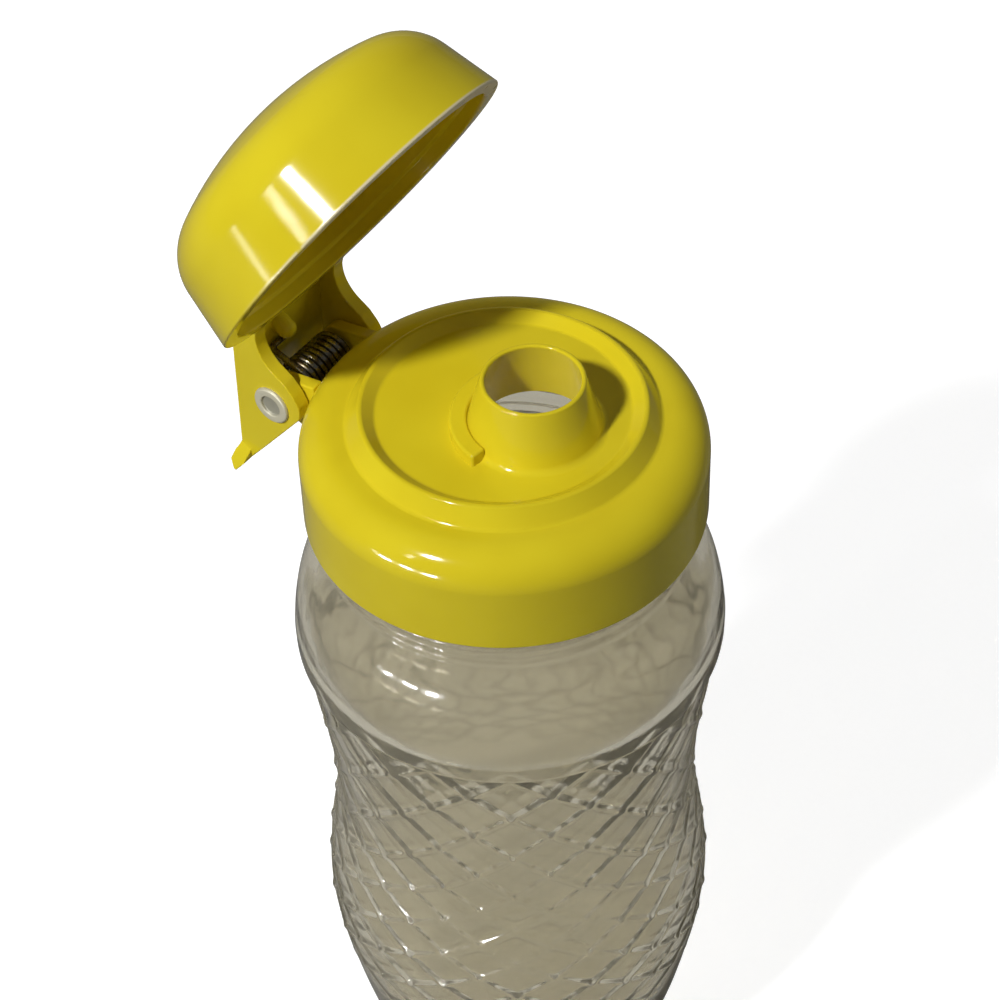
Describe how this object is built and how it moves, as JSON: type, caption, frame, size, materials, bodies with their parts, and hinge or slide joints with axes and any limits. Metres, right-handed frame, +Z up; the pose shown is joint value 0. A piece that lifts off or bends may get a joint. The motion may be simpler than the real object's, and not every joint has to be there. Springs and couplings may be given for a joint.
{
  "type": "syrup dispenser",
  "caption": "Glass syrup jar with a screw cap, a tapered pouring spout and a spring-closed hinged flip lid worked by a thumb lever.",
  "frame": {"origin": "centre of the glass jar's foot, on the surface it stands on", "axes": "+Z up along the jar's axis; the lid's hinge is at +Y and its pin runs along X; the side away from the hinge, where the lid opens, faces -Y"},
  "size_m": [0.0734, 0.0891, 0.2221],
  "materials": {
    "clear_glass": "clear, pressed pattern, faint grey-green tint",
    "seal_foam": "matt off-white liner",
    "yellow_plastic": "glossy injection-moulded yellow",
    "rivet_metal": "dull rolled edge",
    "spring_steel": "plain spring wire, slightly dark"
  },
  "bodies": {
    "jar": {"glass_jar": "clear_glass"},
    "seal": {"mouth_seal": "seal_foam"},
    "cap": {"screw_cap": "yellow_plastic", "hinge_spring": "spring_steel"},
    "lid": {"flip_lid": "yellow_plastic", "hinge_rivet": "rivet_metal"}
  },
  "joints": [
    {"name": "cap_lift", "type": "slide", "parent": "jar", "child": "seal", "axis": [0, 0, 1], "range_m": [0, 0.0048]},
    {"name": "cap_turn", "type": "hinge", "parent": "seal", "child": "cap", "pos_m": [0, 0, 0.164], "axis": [0, 0, 1], "range_deg": [0, 400]},
    {"name": "lid_hinge", "type": "hinge", "parent": "cap", "child": "lid", "pos_m": [0, 0.03903, 0.15484], "axis": [-1, 0, 0], "range_deg": [-57.3, 37.7], "stiffness_Nm_per_rad": 0.085, "springref_deg": -92.3, "deforming": ["hinge_spring"]}
  ],
  "couplings": [
    {"joint": "cap_lift", "follows": "cap_turn", "m_per_rad": 0.00067323}
  ]
}
